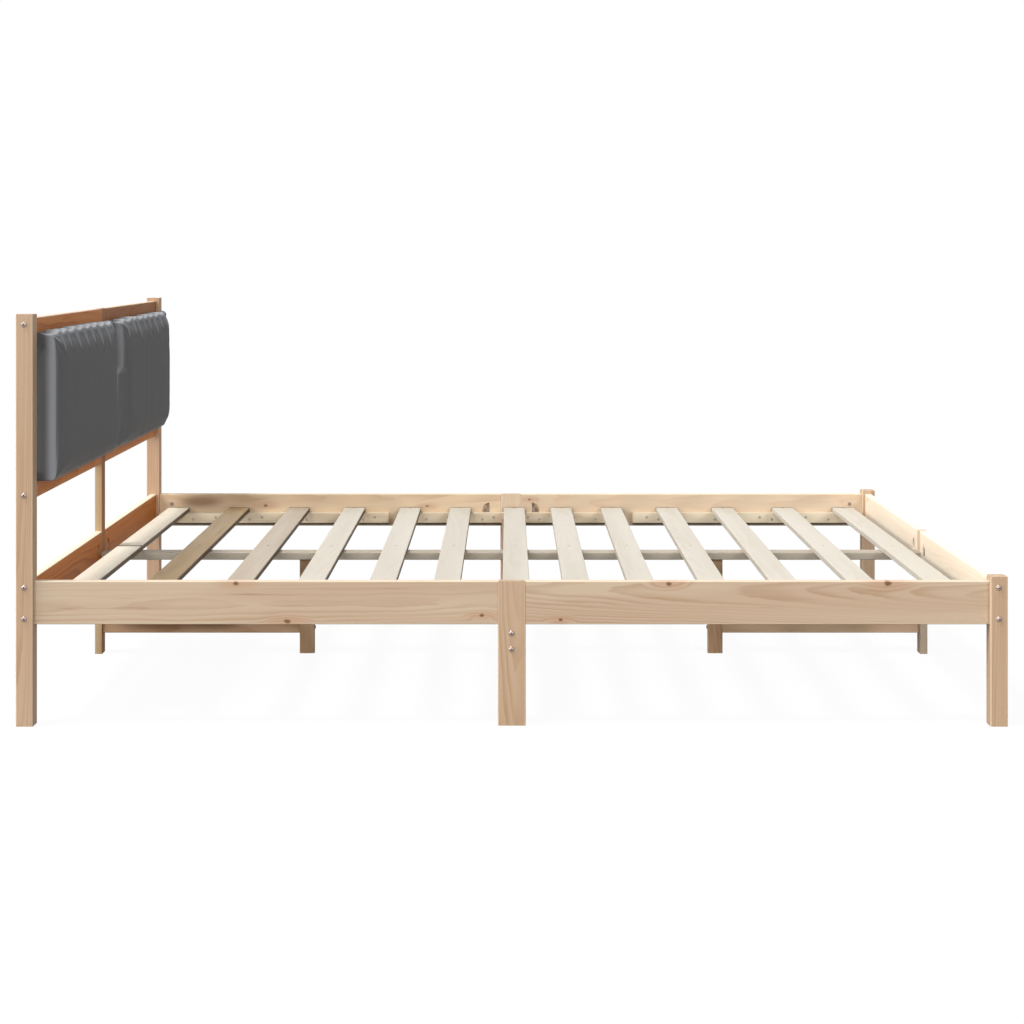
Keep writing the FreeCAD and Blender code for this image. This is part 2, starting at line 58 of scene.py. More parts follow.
# Light: strengths are what a white surface facing the lamp would show, spreads are in degrees
SKY = 0.24
FLOOR_BOUNCE = 0.22
FLOOR_WHITE = 0.9
FLOOR_SHADOW = 0.05
FLOOR_SIZE = 120.0
LAMPS = {
    "key": {"towards": (-0.40, -0.175, 0.90), "strength": 0.68, "spread": 12},
    "left": {"towards": (-0.95, -0.05, 0.30), "strength": 0.62, "spread": 25},
    "front": {"towards": (-0.45, -0.85, 0.25), "strength": 0.38, "spread": 25},
    "right": {"towards": (0.45, -0.80, 0.40), "strength": 0.33, "spread": 20},
    "back": {"towards": (0.0, 0.90, 0.44), "strength": 0.18, "spread": 50},
}

# Growth rings round a pith that lies outside the board, bent, rippled and uneven in width.
# Scales are along the grain, across the board and through it.
SEED = 4
SEED_SPREAD = 40
PITH_DEPTH = (0.045, 0.11)
PITH_SIDE = 0.035
PITH_TILT = 0.03
RING_PITCH = 0.0042
BEND_SCALE = (1.6, 9.0, 9.0)
BEND_SIZE = 0.020
RIPPLE_SCALE = (7.0, 60.0, 60.0)
RIPPLE_SIZE = 0.0035
UNEVEN_SCALE = 45.0
UNEVEN_DETAIL = 1.0
UNEVEN_SIZE = 0.016
LATE_WOOD_STEP = (0.25, 0.92)
RING_END_STEP = (1.0, 0.93)
RING_PATCH_SCALE = (1.3, 22.0, 22.0)
RING_PATCH_STEP = (0.36, 0.70)
RING_STRENGTHS = (0.15, 1.0)
RING_TINT = (206, 178, 150)

# Grain: fibres, dark streaks, clouds of deeper sapwood and the wandering edge of the heartwood
# tone, which is partly painted shade where it shows
FINE_DETAIL = 3.0
FIBRE_SCALE = (25.0, 1500.0, 1500.0)
FIBRE_SHADES = (0.96, 1.04)
STREAK_SCALE = (5.0, 170.0, 170.0)
STREAK_STEP = (0.63, 0.80)
STREAK_TINT = (196, 160, 128)
CLOUD_SCALE = (1.1, 16.0, 16.0)
CLOUD_STEP = (0.38, 0.62)
HEART_AND_SHADE_SCALE = (1.4, 20.0, 20.0)
HEART_AND_SHADE_WANDER = (-0.3, 0.3)
HEART_AND_SHADE_STEP = (-0.3, 0.4)

# Surface of the wood: roughness between the streaks and in them, gloss, and relief
WOOD_ROUGHNESS = (0.48, 0.68)
WOOD_SPECULAR = 0.12
WOOD_BUMP = 0.35
WOOD_RELIEF = 0.0003
RING_RELIEF = -0.4

# Borders of a board: edges with narrow faces, ends and the lower border. Edges that face down or,
# by this weight, towards the foot take a painted shade tone; where the other edge tone is paler than
# the faces it is partly wear and partly a painted highlight. A post this near to square has four
# wide faces.
EDGE_BAND = (0.0035, 0.0005)
# Dark ends of the slats: painted shade of the shadowed gaps where slat ends meet
PAINTED_END_SHADE_BAND = (0.0100, 0.0040)
PAINTED_END_SHADE_TONE = (96, 76, 56)
# Dark lower border of the ledgers: a painted shadow under them
PAINTED_LOW_SHADOW_BAND = (0.0055, 0.0025)
PAINTED_LOW_SHADOW_TONE = (46, 33, 22)
FOOT_SIDE_WEIGHT = 0.8
PAINTED_SHADE_STEP = (0.3, 0.8)
SQUARE_RATIO = 0.75

# Knots from the board's middle: along, across, radius. Squeezes draw a mark out along the grain,
# and the sizes after them are in radii.
KNOTS = {
    "side_rail_right_head": [(-0.062, 0.040, 0.0055), (0.044, -0.039, 0.006), (0.4485, -0.026, 0.0045)],
    "side_rail_right_foot": [(-0.409, -0.035, 0.004), (-0.184, 0.039, 0.0055), (0.271, 0.040, 0.007)],
    "side_rail_left_head": [(-0.182, 0.012, 0.005), (0.274, 0.0105, 0.004)],
    "side_rail_left_foot": [(-0.458, 0.029, 0.0035)],
}
KNOT_SQUEEZE = (0.72, 1.0, 0.15)
KNOT_START = 1.5
KNOT_FULL = 0.85
KNOT_WOBBLE = 0.9
KNOT_WOBBLE_SCALE = (90.0, 160.0, 40.0)
KNOT_TONE = (104, 62, 40)
KNOT_SHARE = 0.8
HALO_SQUEEZE = (0.28, 1.0, 0.15)
HALO_START = 3.2
HALO_FULL = 0.8
HALO_TONE = (190, 138, 106)
HALO_SHARE = 0.35
HALO_PUSH = 0.005
# Darker patches: along, across, radius, share of the tone. On the far rail by the head they are a
# painted shadow of the headboard, and at the foot of the foot centre leg painted shade near the
# floor; on the head centre stretcher they darken the board in three places
DARK_PATCHES = {
    "side_rail_left_head": [(-0.31, 0.022, 0.018, 0.42), (-0.365, 0.024, 0.0075, 0.60)],
    "centre_stretcher_head": [(-0.10, 0.0, 0.013, 0.85), (0.035, 0.0, 0.009, 0.7), (0.24, 0.0, 0.007, 0.4)],
    "foot_centre_leg": [(-0.155, 0.0, 0.020, 0.5)],
}
DARK_PATCH_TONE = (104, 70, 42)

# Woods: pale and deep sapwood, the edges, heartwood where it shows (partly painted shade), and
# what differs from plain wood: strength of the figure, share of the edge tone, tone of the painted
# shade on edges turned from the light, painted shade at the ends and a painted shadow on the lower
# border
PLAIN_WOOD = {"heart_and_shade": None, "figure": 0.48, "edge_share": 0.6, "painted_shade_edge": (150, 118, 88),
              "painted_end_shade_share": 0.0, "painted_low_shadow_share": 0.0}
WOODS = {
    "pine": {"pale": (206, 184, 158), "deep": (199, 173, 147), "edge": (240, 225, 202)},
    "post": {"pale": (200, 172, 144), "deep": (192, 161, 131), "edge": (236, 216, 190)},
    "tan": {"pale": (197, 164, 135), "deep": (190, 154, 124), "edge": (226, 204, 178)},
    "light": {"pale": (223, 203, 178), "deep": (217, 194, 167), "edge": (244, 230, 206),
              "figure": 0.30},
    "warm_light": {"pale": (229, 206, 176), "deep": (223, 197, 165), "edge": (244, 230, 206),
                   "figure": 0.30},
    "cream": {"pale": (246, 230, 202), "deep": (240, 220, 190), "edge": (206, 190, 164),
              "figure": 0.25, "edge_share": 0.8, "painted_shade_edge": (78, 58, 40), "painted_low_shadow_share": 0.9},
    "white": {"pale": (250, 236, 214), "deep": (246, 228, 204), "edge": (252, 240, 222),
              "figure": 0.15},
    "shade": {"pale": (198, 165, 133), "deep": (182, 147, 115), "edge": (190, 164, 136),
              "figure": 0.6},
    "dark_shade": {"pale": (198, 165, 133), "deep": (182, 147, 115), "edge": (190, 164, 136),
                   "heart_and_shade": (156, 118, 88), "figure": 0.6},
    "slat": {"pale": (209, 202, 189), "deep": (203, 195, 181), "edge": (206, 197, 182),
             "figure": 0.12, "edge_share": 0.95, "painted_shade_edge": (88, 68, 47), "painted_end_shade_share": 1.0},
    "warm_slat": {"pale": (182, 169, 152), "deep": (175, 160, 141), "edge": (184, 170, 150),
                  "figure": 0.18, "edge_share": 0.95, "painted_shade_edge": (82, 62, 42), "painted_end_shade_share": 1.0},
    "pale_slat": {"pale": (250, 241, 222), "deep": (245, 233, 212), "edge": (244, 232, 210),
                  "figure": 0.12, "edge_share": 0.95, "painted_shade_edge": (86, 65, 44), "painted_end_shade_share": 1.0},
    "olive_slat": {"pale": (188, 163, 124), "deep": (179, 151, 112), "edge": (178, 154, 120),
                   "figure": 0.30, "edge_share": 0.95, "painted_shade_edge": (76, 56, 36), "painted_end_shade_share": 1.0},
    "honey": {"pale": (214, 186, 152), "deep": (206, 172, 138), "edge": (246, 228, 202),
              "heart_and_shade": (222, 140, 72), "figure": 0.8},
    "toast": {"pale": (206, 170, 134), "deep": (196, 154, 120), "edge": (224, 202, 176),
              "heart_and_shade": (202, 128, 66), "figure": 0.8},
    "amber": {"pale": (214, 186, 152), "deep": (206, 172, 138), "edge": (252, 238, 214),
              "heart_and_shade": (187, 114, 52), "figure": 0.8, "edge_share": 0.85},
    "russet": {"pale": (206, 170, 134), "deep": (196, 154, 120), "edge": (242, 218, 188),
               "heart_and_shade": (155, 98, 50), "figure": 0.8},
    "olive": {"pale": (182, 156, 116), "deep": (172, 142, 104), "edge": (200, 178, 142),
              "heart_and_shade": (158, 104, 62)},
    "grey": {"pale": (184, 173, 156), "deep": (172, 160, 142), "edge": (182, 173, 158),
             "figure": 0.35, "painted_shade_edge": (120, 108, 92)},
    "plywood": {"pale": (216, 190, 150), "deep": (206, 176, 134), "edge": (196, 164, 122)},
    "beech": {"pale": (212, 176, 140), "deep": (200, 160, 124), "edge": (212, 176, 140),
              "edge_share": 0.0},
}
# Boards that aren't plain pine, by the start of their names; the first row that fits counts.
# Some tones are partly painted light and shade: the near-white foot rail, the paler far rail and
# the pale slat_01 carry painted light; the darker slat_02 and slat_03 carry painted shadow of the
# headboard; the darker far head post, the grey centre beam and the shade boards under the bed
# carry painted shade
BOARD_WOODS = {
    "slat_ledger": "cream",
    "slat_01": "pale_slat",
    "slat_02": "olive_slat",
    "slat_03": "warm_slat",
    "slat_": "slat",
    "side_rail_left_head": "warm_light",
    "side_rail_left": "light",
    "foot_rail": "white",
    "head_rail": "amber",
    "headboard_top_rail_left": "russet",
    "headboard_top_rail_right": "toast",
    "headboard": "honey",
    "head_centre_post": "olive",
    "head_post_left": "tan",
    "head_post": "post",
    "foot_post": "post",
    "mid_leg_left": "light",
    "mid_leg": "post",
    "centre_beam": "grey",
    "centre_stretcher_foot": "post",
    "centre_stretcher": "shade",
    "centre_leg": "shade",
    "foot_centre_leg": "light",
    "cross_beam_cap": "dark_shade",
    "cushion_board": "plywood",
    "dowels": "beech",
}
WOOD_SLOTS = ("pine", "slat_pine", "beech", "plywood")

# Zinc-plated steel: bright, dull and recess tones of the bolts with their nuts, and of the screws;
# the recess tone is painted shade, laid where ambient occlusion finds recesses
BOLT_TONES = ((172, 156, 149), (142, 128, 121), (80, 62, 50))
SCREW_TONES = ((204, 194, 182), (176, 166, 154), (190, 176, 156))
MOTTLE_SCALE = (900.0, 900.0, 900.0)
RECESS_REACH = 0.003
RECESS_SAMPLES = 4
RECESS_STEP = (0.45, 0.97)
STEEL_ROUGHNESS = (0.25, 0.45)
STEEL_METALLIC = 0.75

# Cover fabric: yarn, weave and clouds, and painted light and shade by the way it faces (paler on
# top, darker towards the foot) and painted shade by the distance from the back
YARN_TONES = ((154, 156, 160), (178, 180, 184))
FLECK_SCALE = (1400.0, 1400.0, 700.0)
WEAVE_PITCH = 0.0011
WEAVE_SHADES = (0.80, 1.05)
FADE_SCALE = (9.0, 9.0, 5.0)
FADE_SHADES = (0.95, 1.05)
UP_STEP = (0.10, 0.75)
PAINTED_TOP_LIGHT_SHADES = (0.80, 1.32)
FRONT_STEP = (0.80, 0.99)
PAINTED_FOOT_SHADES = (1.0, 0.51)
PAINTED_BACK_SHADE_STEP = (0.016, 0.038)
PAINTED_BACK_SHADES = (0.42, 1.0)
FABRIC_ROUGHNESS = (0.95, 0.80)
FABRIC_SPECULAR = 0.05
FABRIC_SHEEN = 0.05
FABRIC_SHEEN_ROUGHNESS = 0.5
FABRIC_BUMP = 0.5
FABRIC_RELIEF = 0.0004

# Cushions before they swell: a block with rounded front edges
VOXEL = 0.005
START_DEPTH = 0.046
START_ROUND = 0.008
ROUND_STEP = 15
NEAR_END_ROUND = 0.004
FAR_END_ROUND = 0.013
END_SEGMENTS = 4
# Swelling by air pressure, with a soft cap on each point's move
SWELL_PRESSURE = 1.5
SWELL_FRAMES = 20
SWELL_CAP = 0.011
# Meeting in the middle, below a depth from the top, where the far cushion is thinner
MEET_REACH = 0.070
MEET_GAP = 0.0012
MEET_STEP = (0.110, 0.138)
MEET_THIN = 0.24
# Thinner ends towards the far side: top corner in the middle and at the far end, bottom, whole end
CORNER_REACH = 0.10
MIDDLE_DROP = 0.26
MIDDLE_THIN = 0.46
CORNER_DROP = 0.13
CORNER_THIN = 0.30
BOTTOM_DROP = 0.036
BOTTOM_THIN = 0.36
END_REACH = 0.09
END_THIN = 0.12
# Cover drawn in at the back of both ends
BACK_DRAW = 0.006
BACK_REACH = 0.026
# Gathers along the top edge: places in pitches, heights and lengths as shares, and faint waves
PUCKERS = 9
PUCKER_START = 0.75
PUCKER_SHIFT = 0.12
PUCKER_HEIGHT = 0.0095
PUCKER_HEIGHTS = (0.65, 1.0)
PUCKER_FADE = 0.080
PUCKER_LENGTHS = (0.7, 1.15)
PUCKER_TOP = 0.004
PUCKER_RISE = 0.0065
PUCKER_FALL = 0.019
PUCKER_SINK = 0.45
PUCKER_SLANT = 0.30
PUCKER_FRONT_STEP = (0.004, 0.016)
WAVE_HEIGHT = 0.0010
WAVES_ACROSS = 26
WAVES_DOWN = 3
WAVE_SLICE = 7.0
# Hem round the back, inside which the plywood shows
HEM_WIDTH = 0.030
HEM_DEPTH = 0.0115

random_draw = random.Random(SEED)


def srgb(tone):
    """Linear colour with alpha from a tone in display values."""
    shares = [value / 255 for value in tone]
    linear = [share / 12.92 if share <= 0.04045 else ((share + 0.055) / 1.055) ** 2.4 for share in shares]
    return (*linear, 1.0)


def add(tree, kind, inputs=None, **settings):
    """New shader node with settings and with inputs that are values or sockets to link."""
    node = tree.nodes.new(kind)
    for name, value in settings.items():
        setattr(node, name, value)
    for key, value in (inputs or {}).items():
        if isinstance(value, bpy.types.NodeSocket):
            tree.links.new(value, node.inputs[key])
        else:
            node.inputs[key].default_value = value
    return node


def math_of(tree, operation, first, second=0.0, third=0.0):
    """Result of a Math node."""
    return add(tree, "ShaderNodeMath", {0: first, 1: second, 2: third}, operation=operation).outputs[0]


def between(tree, share, none, full):
    """Value that goes from none to full while a share goes from 0 to 1."""
    return math_of(tree, "MULTIPLY_ADD", share, full - none, none)


def vector_of(tree, operation, first, second=(0.0, 0.0, 0.0)):
    """Vector result of a Vector Math node."""
    return add(tree, "ShaderNodeVectorMath", {0: first, 1: second}, operation=operation).outputs[0]


def length_of(tree, vector):
    """Length of a vector."""
    return add(tree, "ShaderNodeVectorMath", {0: vector}, operation="LENGTH").outputs["Value"]


def parts_of(tree, vector):
    """X, Y and Z of a vector."""
    return add(tree, "ShaderNodeSeparateXYZ", {0: vector}).outputs


def mix_of(tree, share, first, second, blend="MIX"):
    """Colour mix; 6 and 7 are the Mix node's two colour sockets."""
    inputs = {0: share, 6: first, 7: second}
    return add(tree, "ShaderNodeMix", inputs, data_type="RGBA", blend_type=blend).outputs[2]


def shaded(tree, colour, shade):
    """Colour times a shade."""
    return mix_of(tree, 1.0, colour, shade, "MULTIPLY")


def step_of(tree, value, start, full):
    """Smooth step from 0 at start to 1 at full."""
    inputs = {"Value": value, "From Min": start, "From Max": full}
    return add(tree, "ShaderNodeMapRange", inputs, interpolation_type="SMOOTHSTEP").outputs[0]


def noise_of(tree, place, scale, detail=2.0):
    """Noise from 0 to 1 at a place scaled along each axis."""
    scaled = vector_of(tree, "MULTIPLY", place, scale)
    inputs = {"Vector": scaled, "Scale": 1.0, "Detail": detail}
    return add(tree, "ShaderNodeTexNoise", inputs).outputs[0]


def add_bump(tree, shader, height, strength, relief):
    """Fine relief on a shader from a height between 0 and 1."""
    inputs = {"Height": height, "Strength": strength, "Distance": relief}
    tree.links.new(add(tree, "ShaderNodeBump", inputs).outputs[0], shader.inputs["Normal"])


def new_material(name):
    """Empty node material with its principled shader."""
    material = bpy.data.materials.new(name)
    material.use_nodes = True
    tree = material.node_tree
    return material, tree, tree.nodes["Principled BSDF"]


def new_group(name, inputs, outputs):
    """Shader node group with named sockets."""
    group = bpy.data.node_groups.new(name, "ShaderNodeTree")
    for socket, kind in inputs.items():
        group.interface.new_socket(socket, in_out="INPUT", socket_type=f"NodeSocket{kind}")
    for socket, kind in outputs.items():
        group.interface.new_socket(socket, in_out="OUTPUT", socket_type=f"NodeSocket{kind}")
    return group, group.nodes.new("NodeGroupInput").outputs, group.nodes.new("NodeGroupOutput").inputs


def ring_figure(tree, seeded, source):
    """Late wood of the growth rings, from 0 to 1, stronger in some patches than in others."""
    along = parts_of(tree, source["Place"])["X"]
    along_each = add(tree, "ShaderNodeCombineXYZ", {"X": along, "Y": along, "Z": along}).outputs[0]
    drift = vector_of(tree, "MULTIPLY", source["Tilt"], along_each)
    from_pith = vector_of(tree, "SUBTRACT", vector_of(tree, "SUBTRACT", seeded, source["Pith"]), drift)
    radius = length_of(tree, vector_of(tree, "MULTIPLY", from_pith, (0.0, 1.0, 1.0)))
    bend = noise_of(tree, seeded, BEND_SCALE)
    radius = math_of(tree, "MULTIPLY_ADD", bend, BEND_SIZE, radius)
    ripple = noise_of(tree, seeded, RIPPLE_SCALE)
    radius = math_of(tree, "MULTIPLY_ADD", ripple, RIPPLE_SIZE, radius)
    radius = math_of(tree, "ADD", radius, source["Push"])
    stretch = {"W": math_of(tree, "MULTIPLY", radius, UNEVEN_SCALE), "Scale": 1.0, "Detail": UNEVEN_DETAIL}
    uneven = add(tree, "ShaderNodeTexNoise", stretch, noise_dimensions="1D").outputs[0]
    radius = math_of(tree, "MULTIPLY_ADD", uneven, UNEVEN_SIZE, radius)
    phase = math_of(tree, "FRACT", math_of(tree, "DIVIDE", radius, RING_PITCH))
    late = step_of(tree, phase, *LATE_WOOD_STEP)
    before_end = step_of(tree, phase, *RING_END_STEP)
    rings = math_of(tree, "MULTIPLY", late, before_end)
    patches = step_of(tree, noise_of(tree, seeded, RING_PATCH_SCALE), *RING_PATCH_STEP)
    return math_of(tree, "MULTIPLY", rings, between(tree, patches, *RING_STRENGTHS))


def heart_and_shade_share(tree, seeded, source):
    """Share of heartwood tone, which lies on the upper side of a board's thickness and is partly painted
    shade.
    """
    wander = between(tree, noise_of(tree, seeded, HEART_AND_SHADE_SCALE), *HEART_AND_SHADE_WANDER)
    through = parts_of(tree, source["Place"])["Z"]
    depth = math_of(tree, "DIVIDE", through, parts_of(tree, source["Half"])["Z"])
    heart_and_shade = step_of(tree, math_of(tree, "ADD", depth, wander), *HEART_AND_SHADE_STEP)
    return math_of(tree, "MULTIPLY", heart_and_shade, source["Heartwood And Shade Share"])


def add_borders(tree, colour, source):
    """Colour with the tones of edges and narrow faces, painted shade on edges turned from the light and at
    the ends, and a painted shadow on the lower border.
    """
    place = source["Place"]
    half = source["Half"]
    inside = parts_of(tree, vector_of(tree, "SUBTRACT", half, vector_of(tree, "ABSOLUTE", place)))
    inside_through = math_of(tree, "MULTIPLY", inside["Z"], source["Square"])
    from_edge = math_of(tree, "MAXIMUM", inside["Y"], inside_through)
    edge = math_of(tree, "MULTIPLY", step_of(tree, from_edge, *EDGE_BAND), source["Edge Share"])
    # Edges turned away from the light take a painted shade tone; the other edge tone is partly wear and
    # partly painted highlight
    facing = parts_of(tree, add(tree, "ShaderNodeNewGeometry").outputs["Normal"])
    to_foot = math_of(tree, "MULTIPLY", facing["X"], FOOT_SIDE_WEIGHT)
    painted_shade_share = step_of(tree, math_of(tree, "SUBTRACT", to_foot, facing["Z"]), *PAINTED_SHADE_STEP)
    painted_edge_light_and_shade = mix_of(tree, painted_shade_share, source["Edge"], source["Painted Shade Edge"])
    colour = mix_of(tree, edge, colour, painted_edge_light_and_shade)
    # Painted shade at the ends of the board
    end = math_of(tree, "MULTIPLY", step_of(tree, inside["X"], *PAINTED_END_SHADE_BAND), source["Painted End Shade Share"])
    colour = mix_of(tree, end, colour, srgb(PAINTED_END_SHADE_TONE))
    # Painted shadow along the lower border
    from_low = parts_of(tree, vector_of(tree, "ADD", place, half))["Y"]
    low = math_of(tree, "MULTIPLY", step_of(tree, from_low, *PAINTED_LOW_SHADOW_BAND), source["Painted Low Shadow Share"])
    return mix_of(tree, low, colour, srgb(PAINTED_LOW_SHADOW_TONE))


def make_wood_group():
    """Wood at a place in board coordinates: X along the grain, Y across, Z through the board."""
    group, source, result = new_group(
        "wood_board",
        {"Place": "Vector", "Seed": "Vector", "Half": "Vector", "Pith": "Vector", "Tilt": "Vector",
         "Push": "Float", "Square": "Float", "Heartwood And Shade Share": "Float", "Edge Share": "Float",
         "Painted End Shade Share": "Float", "Painted Low Shadow Share": "Float", "Figure": "Float", "Pale": "Color",
         "Deep": "Color", "Heart And Shade": "Color", "Edge": "Color", "Painted Shade Edge": "Color"},
        {"Colour": "Color", "Roughness": "Float", "Height": "Float"},
    )
    seeded = vector_of(group, "ADD", source["Place"], source["Seed"])
    rings = ring_figure(group, seeded, source)
    fibre = noise_of(group, seeded, FIBRE_SCALE)
    streaks = noise_of(group, seeded, STREAK_SCALE, FINE_DETAIL)
    clouds = step_of(group, noise_of(group, seeded, CLOUD_SCALE, FINE_DETAIL), *CLOUD_STEP)

    colour = mix_of(group, clouds, source["Pale"], source["Deep"])
    # Heartwood tone on one side of the thickness, partly painted shade
    colour = mix_of(group, heart_and_shade_share(group, seeded, source), colour, source["Heart And Shade"])
    ring_share = math_of(group, "MULTIPLY", rings, source["Figure"])
    colour = mix_of(group, ring_share, colour, srgb(RING_TINT), "MULTIPLY")
    streak_share = math_of(group, "MULTIPLY", step_of(group, streaks, *STREAK_STEP), source["Figure"])
    colour = mix_of(group, streak_share, colour, srgb(STREAK_TINT), "MULTIPLY")
    colour = shaded(group, colour, between(group, fibre, *FIBRE_SHADES))
    colour = add_borders(group, colour, source)

    group.links.new(colour, result["Colour"])
    group.links.new(between(group, streaks, *WOOD_ROUGHNESS), result["Roughness"])
    group.links.new(math_of(group, "MULTIPLY_ADD", rings, RING_RELIEF, fibre), result["Height"])
    return group


def board_wood(name):
    """Wood of a board, by the start of the board's name."""
    for start, wood in BOARD_WOODS.items():
        if name.startswith(start):
            return {**PLAIN_WOOD, **WOODS[wood]}
    return {**PLAIN_WOOD, **WOODS["pine"]}


def halo_mask(tree, place, along, across, radius):
    """Mask of a soft patch that is drawn out along the grain."""
    offset = vector_of(tree, "SUBTRACT", place, (along, across, 0.0))
    distance = length_of(tree, vector_of(tree, "MULTIPLY", offset, HALO_SQUEEZE))
    return step_of(tree, distance, radius * HALO_START, radius * HALO_FULL)


def knot_mask(tree, place, along, across, radius):
    """Mask of a knot with an uneven outline."""
    offset = vector_of(tree, "SUBTRACT", place, (along, across, 0.0))
    distance = length_of(tree, vector_of(tree, "MULTIPLY", offset, KNOT_SQUEEZE))
    wobble = noise_of(tree, place, KNOT_WOBBLE_SCALE)
    distance = math_of(tree, "MULTIPLY_ADD", wobble, radius * KNOT_WOBBLE, distance)
    return step_of(tree, distance, radius * KNOT_START, radius * KNOT_FULL)


def part_shown(tree, mask, share, colour, tone):
    """Colour with a share of a tone inside a mask."""
    return mix_of(tree, math_of(tree, "MULTIPLY", mask, share), colour, srgb(tone))


def make_wood(name, slot, group):
    """Material of one board, with its own wood, grain, knots and stains."""
    wood = board_wood(name)
    low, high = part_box(name)
    sides = high - low
    order = sorted(range(3), key=lambda axis: -sides[axis])
    half = Vector([sides[axis] / 2 for axis in order])
    material, tree, shader = new_material(f"{slot}_{name}")
    coordinates = add(tree, "ShaderNodeTexCoord").outputs["Object"]
    from_middle = parts_of(tree, vector_of(tree, "SUBTRACT", coordinates, (low + high) / 2))
    turned = {letter: from_middle[axis] for letter, axis in zip("XYZ", order)}
    place = add(tree, "ShaderNodeCombineXYZ", turned).outputs[0]

    seed = Vector([random_draw.uniform(-SEED_SPREAD, SEED_SPREAD) for _ in range(3)])
    depth = random_draw.choice((-1, 1)) * random_draw.uniform(*PITH_DEPTH)
    pith = seed + Vector((0.0, random_draw.uniform(-PITH_SIDE, PITH_SIDE), depth))
    tilt = (0.0, random_draw.uniform(-PITH_TILT, PITH_TILT), random_draw.uniform(-PITH_TILT, PITH_TILT))
    knots = KNOTS.get(name, [])
    halos = [halo_mask(tree, place, *knot) for knot in knots]
    push = 0.0
    for halo in halos:
        push = math_of(tree, "MULTIPLY_ADD", halo, HALO_PUSH, push)
    heart_and_shade = wood["heart_and_shade"]
    inputs = {
        "Place": place, "Seed": seed, "Half": half, "Pith": pith, "Tilt": tilt, "Push": push,
        "Square": float(half.z > SQUARE_RATIO * half.y), "Heartwood And Shade Share": float(heart_and_shade is not None),
        "Edge Share": wood["edge_share"], "Painted End Shade Share": wood["painted_end_shade_share"], "Painted Low Shadow Share": wood["painted_low_shadow_share"],
        "Figure": wood["figure"], "Pale": srgb(wood["pale"]), "Deep": srgb(wood["deep"]),
        "Heart And Shade": srgb(heart_and_shade or wood["deep"]), "Edge": srgb(wood["edge"]),
        "Painted Shade Edge": srgb(wood["painted_shade_edge"]),
    }
    board = add(tree, "ShaderNodeGroup", inputs, node_tree=group)

    colour = board.outputs["Colour"]
    # Dark patches, partly painted shadow and shade
    for along, across, radius, share in DARK_PATCHES.get(name, []):
        dark_patch = halo_mask(tree, place, along, across, radius)
        colour = part_shown(tree, dark_patch, share, colour, DARK_PATCH_TONE)
    for knot, halo in zip(knots, halos):
        colour = part_shown(tree, halo, HALO_SHARE, colour, HALO_TONE)
        colour = part_shown(tree, knot_mask(tree, place, *knot), KNOT_SHARE, colour, KNOT_TONE)
    tree.links.new(colour, shader.inputs["Base Color"])
    tree.links.new(board.outputs["Roughness"], shader.inputs["Roughness"])
    shader.inputs["Specular IOR Level"].default_value = WOOD_SPECULAR
    add_bump(tree, shader, board.outputs["Height"], WOOD_BUMP, WOOD_RELIEF)
    return material


def make_steel(name, tones):
    """Mottled zinc-plated steel, with a painted shade tone in recesses and round the heads."""
    bright, dull, recess = [srgb(tone) for tone in tones]
    material, tree, shader = new_material(name)
    place = add(tree, "ShaderNodeTexCoord").outputs["Object"]
    mottle = noise_of(tree, place, MOTTLE_SCALE, FINE_DETAIL)
    # Painted shade in recesses found by ambient occlusion
    occlusion = add(tree, "ShaderNodeAmbientOcclusion", {"Distance": RECESS_REACH}, samples=RECESS_SAMPLES)
    outside_painted_shade = step_of(tree, occlusion.outputs["AO"], *RECESS_STEP)
    colour = mix_of(tree, outside_painted_shade, recess, mix_of(tree, mottle, bright, dull))
    tree.links.new(colour, shader.inputs["Base Color"])
    tree.links.new(between(tree, mottle, *STEEL_ROUGHNESS), shader.inputs["Roughness"])
    shader.inputs["Metallic"].default_value = STEEL_METALLIC
    return material


def plain_weave(tree, place, first, second):
    """Height of a plain weave, from 0 to 1, in the plane of two axes."""
    parts = parts_of(tree, place)
    waves = [math_of(tree, "SINE", math_of(tree, "MULTIPLY", parts[axis], math.pi / WEAVE_PITCH))
             for axis in (first, second)]
    return math_of(tree, "MULTIPLY_ADD", math_of(tree, "MULTIPLY", *waves), 0.5, 0.5)


